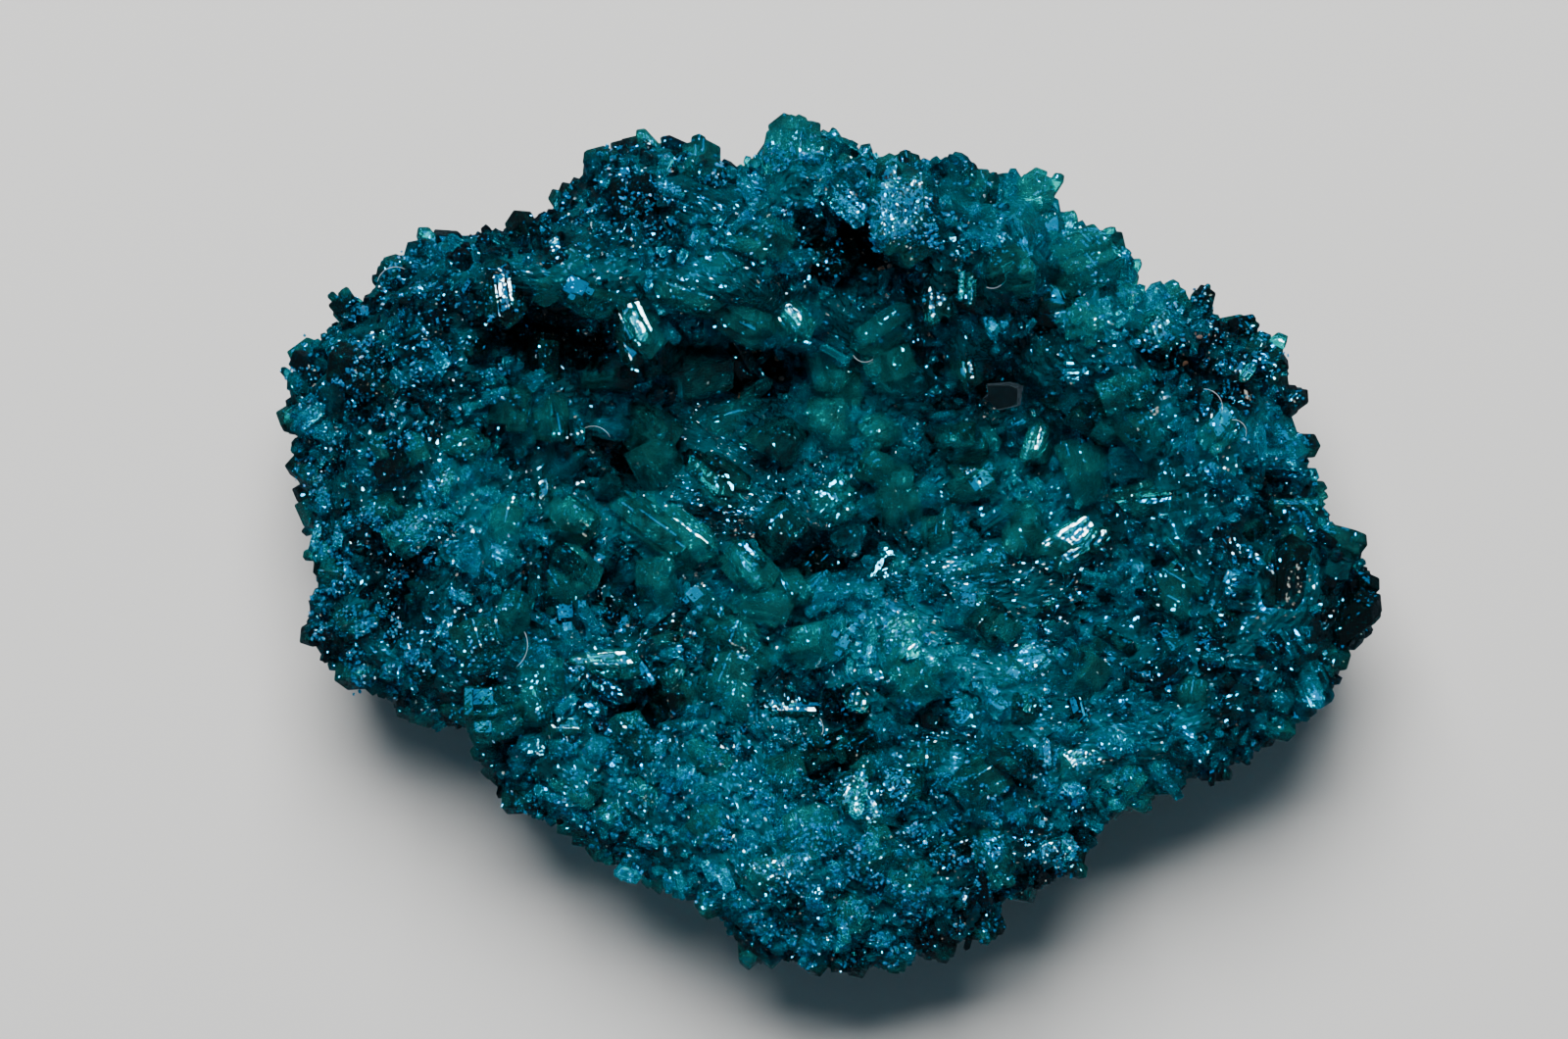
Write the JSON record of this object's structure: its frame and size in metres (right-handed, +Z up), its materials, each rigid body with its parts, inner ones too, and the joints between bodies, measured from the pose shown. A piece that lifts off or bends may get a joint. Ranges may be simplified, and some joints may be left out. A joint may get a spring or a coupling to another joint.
{
  "type": "dioptase crystal cluster",
  "caption": "Shallow bowl-shaped plate of intergrown blue-green dioptase crystals, resting on its flat cut back as a display or study specimen.",
  "frame": {"origin": "bottom centre of the box, on the plane of the flat cut back", "axes": "+X along the plate's length, +Y towards its thick upper rim, +Z up out of the bowl of crystals"},
  "size_m": [0.05, 0.039, 0.015],
  "materials": {
    "dioptase_teal": "glassy crystal faces, clear deep blue-green, index of refraction about 1.67"
  },
  "bodies": {
    "root": {"dioptase_cluster": "dioptase_teal"}
  },
  "joints": []
}
